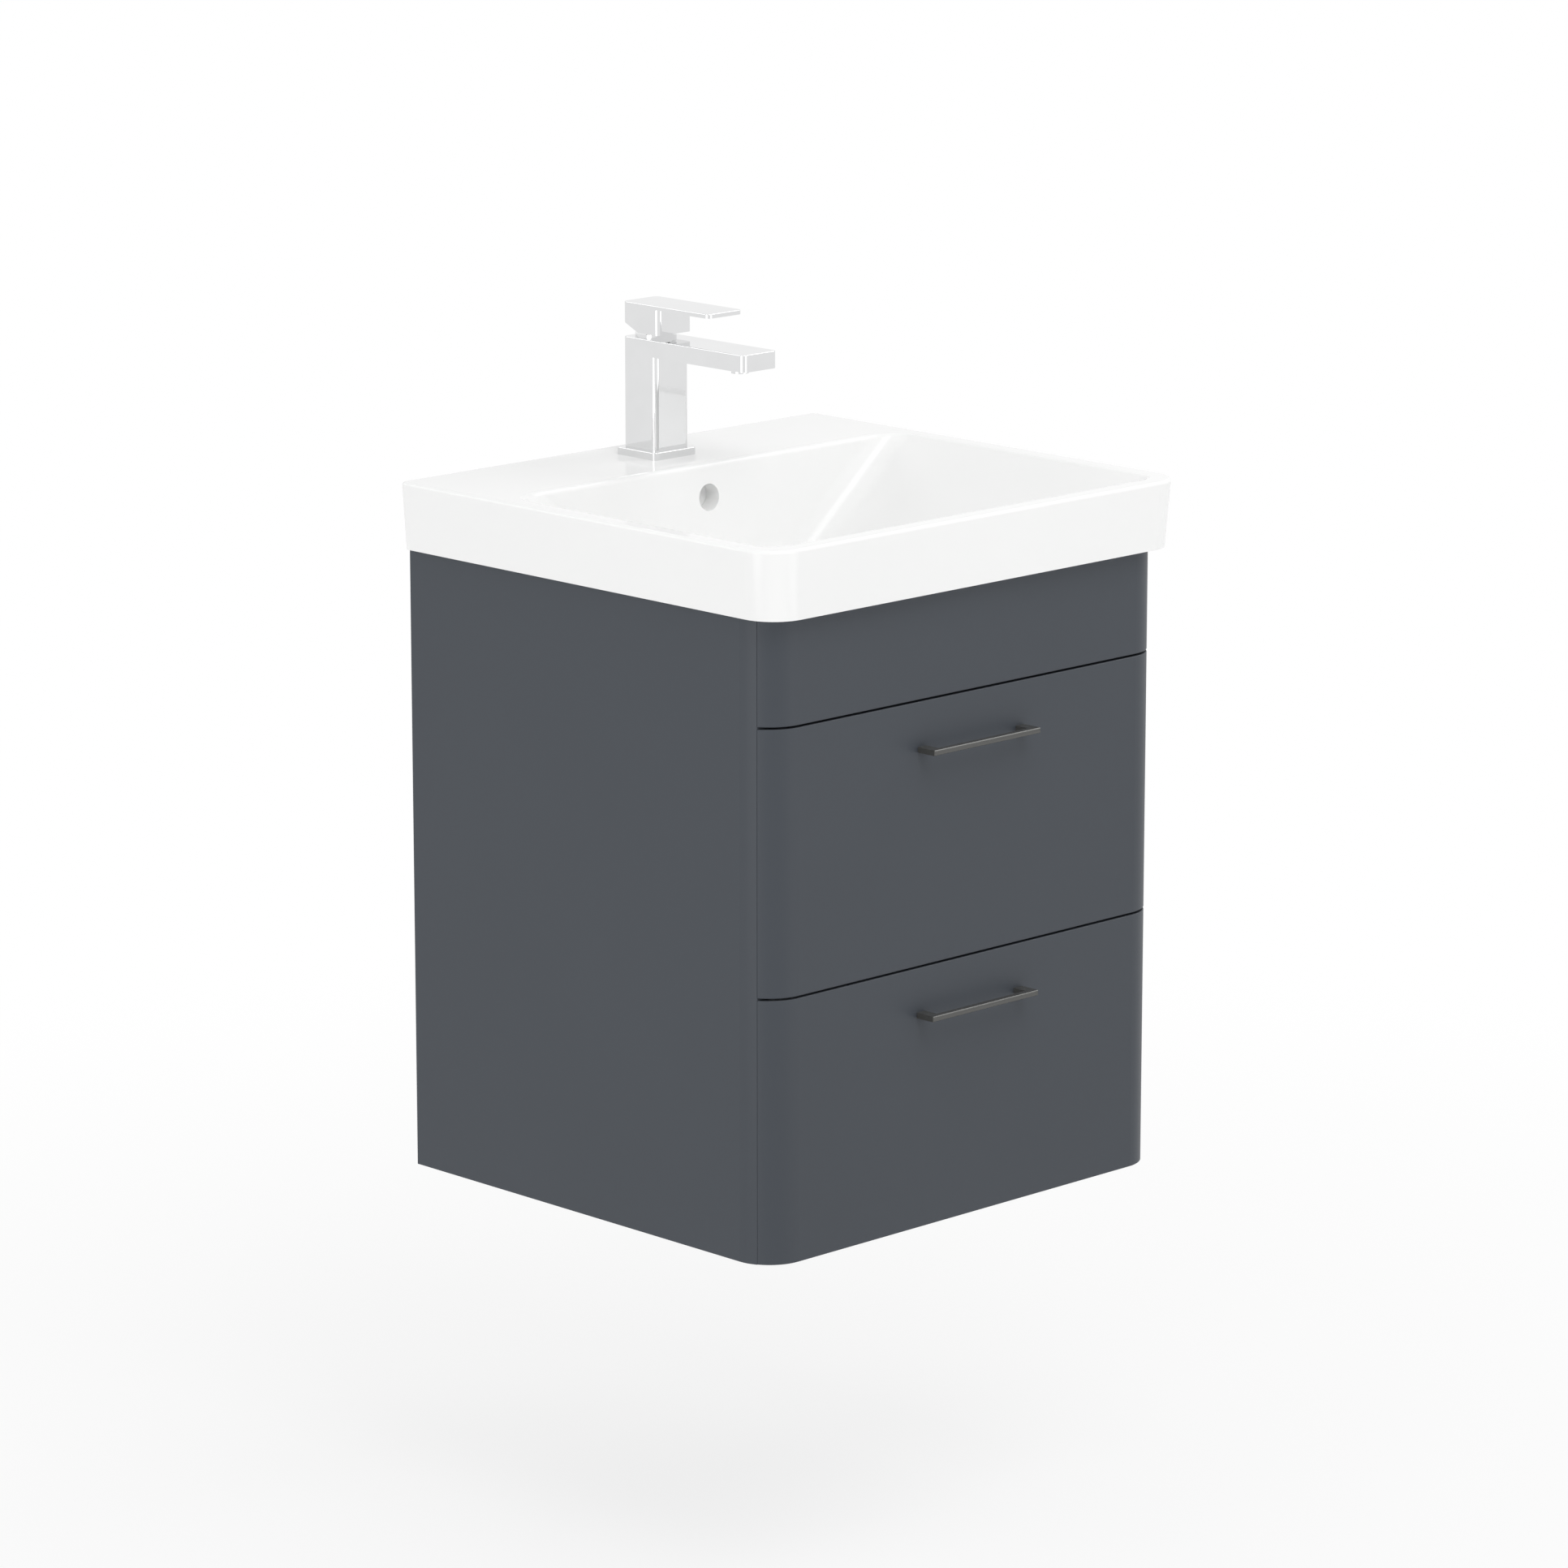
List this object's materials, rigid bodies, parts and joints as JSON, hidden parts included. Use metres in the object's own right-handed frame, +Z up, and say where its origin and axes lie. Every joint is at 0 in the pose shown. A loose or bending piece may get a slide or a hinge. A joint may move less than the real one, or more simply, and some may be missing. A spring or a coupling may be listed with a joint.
{
  "type": "bathroom vanity cabinet",
  "caption": "Wall-hung vanity cabinet with rounded front corners, pull-out drawers on telescopic runners, a ceramic basin and a single-lever tap.",
  "frame": {"origin": "centre of the wall screws, on the wall", "axes": "+X to the right seen from the front, +Y into the wall, +Z up"},
  "size_m": [0.5022, 0.466, 0.7514],
  "materials": {
    "front_lacquer": "satin grey lacquer",
    "carcass_board": "grey melamine board",
    "drawer_board": "pale grey melamine board",
    "runner_steel": "zinc plated",
    "hanger_steel": "zinc plated",
    "handle_steel": "brushed dark nickel",
    "basin_glaze": "white glaze",
    "tap_chrome": "polished chrome",
    "fixing_brass": "plain brass",
    "seal_rubber": "matte",
    "bearing_nylon": "natural nylon",
    "surround_plastic": "moulded grey",
    "dowel_beech": "plain beech"
  },
  "bodies": {
    "cabinet": {"left_side_panel": "front_lacquer", "right_side_panel": "front_lacquer", "bottom_panel": "front_lacquer", "back_panel": "carcass_board", "hanging_rail": "carcass_board", "front_cross_rail": "carcass_board", "fascia_panel": "front_lacquer", "wood_dowels": "dowel_beech", "wall_plates": "hanger_steel", "hanger_hooks": "hanger_steel", "hanger_housings": "hanger_steel", "hanger_adjusters": "hanger_steel", "upper_left_runner_channel": "runner_steel", "upper_right_runner_channel": "runner_steel", "lower_left_runner_channel": "runner_steel", "lower_right_runner_channel": "runner_steel", "basin": "basin_glaze", "waste_body": "tap_chrome", "waste_seals": "seal_rubber", "waste_backnut": "fixing_brass", "tap_base_plate": "tap_chrome", "tap_body": "tap_chrome", "tap_collar": "tap_chrome", "tap_cartridge": "bearing_nylon", "tap_aerator": "tap_chrome", "tap_stud": "fixing_brass", "tap_clamp_washer": "fixing_brass", "tap_clamp_nut": "fixing_brass"},
    "upper_drawer": {"upper_drawer_front": "front_lacquer", "upper_handle": "handle_steel", "upper_handle_screws": "hanger_steel", "upper_box_left_side": "drawer_board", "upper_box_right_side": "drawer_board", "upper_box_front": "drawer_board", "upper_box_base": "drawer_board", "upper_box_left_back": "drawer_board", "upper_box_right_back": "drawer_board", "upper_left_runner_slider": "runner_steel", "upper_right_runner_slider": "runner_steel", "upper_box_trap_surround": "surround_plastic"},
    "lower_drawer": {"lower_drawer_front": "front_lacquer", "lower_handle": "handle_steel", "lower_handle_screws": "hanger_steel", "lower_box_left_side": "drawer_board", "lower_box_right_side": "drawer_board", "lower_box_front": "drawer_board", "lower_box_base": "drawer_board", "lower_box_back": "drawer_board", "lower_left_runner_slider": "runner_steel", "lower_right_runner_slider": "runner_steel"},
    "upper_runner_middle": {"upper_runner_middles": "runner_steel", "upper_runner_bearings": "bearing_nylon"},
    "lower_runner_middle": {"lower_runner_middles": "runner_steel", "lower_runner_bearings": "bearing_nylon"},
    "tap_turret": {"tap_turret": "bearing_nylon", "tap_pivot_pin": "fixing_brass"},
    "tap_lever": {"tap_lever": "tap_chrome", "tap_stem": "fixing_brass"},
    "waste_plug": {"waste_plug": "tap_chrome"}
  },
  "joints": [
    {"name": "upper_drawer_slide", "type": "slide", "parent": "cabinet", "child": "upper_drawer", "axis": [0, -1, 0], "range_m": [0, 0.35]},
    {"name": "upper_runner_slide", "type": "slide", "parent": "cabinet", "child": "upper_runner_middle", "axis": [0, -1, 0], "range_m": [0, 0.175]},
    {"name": "lower_drawer_slide", "type": "slide", "parent": "cabinet", "child": "lower_drawer", "axis": [0, -1, 0], "range_m": [0, 0.35]},
    {"name": "lower_runner_slide", "type": "slide", "parent": "cabinet", "child": "lower_runner_middle", "axis": [0, -1, 0], "range_m": [0, 0.175]},
    {"name": "tap_swivel", "type": "hinge", "parent": "cabinet", "child": "tap_turret", "pos_m": [0, -0.057, 0.2158], "axis": [0, 0, 1], "range_deg": [-50, 50]},
    {"name": "tap_lever_tilt", "type": "hinge", "parent": "tap_turret", "child": "tap_lever", "pos_m": [0, -0.057, 0.2158], "axis": [-1, 0, 0], "range_deg": [0, 20]},
    {"name": "waste_plug_lift", "type": "slide", "parent": "cabinet", "child": "waste_plug", "axis": [0, 0, 1], "range_m": [0, 0.008]}
  ],
  "couplings": [
    {"joint": "upper_runner_slide", "follows": "upper_drawer_slide", "ratio": 0.5},
    {"joint": "lower_runner_slide", "follows": "lower_drawer_slide", "ratio": 0.5}
  ]
}
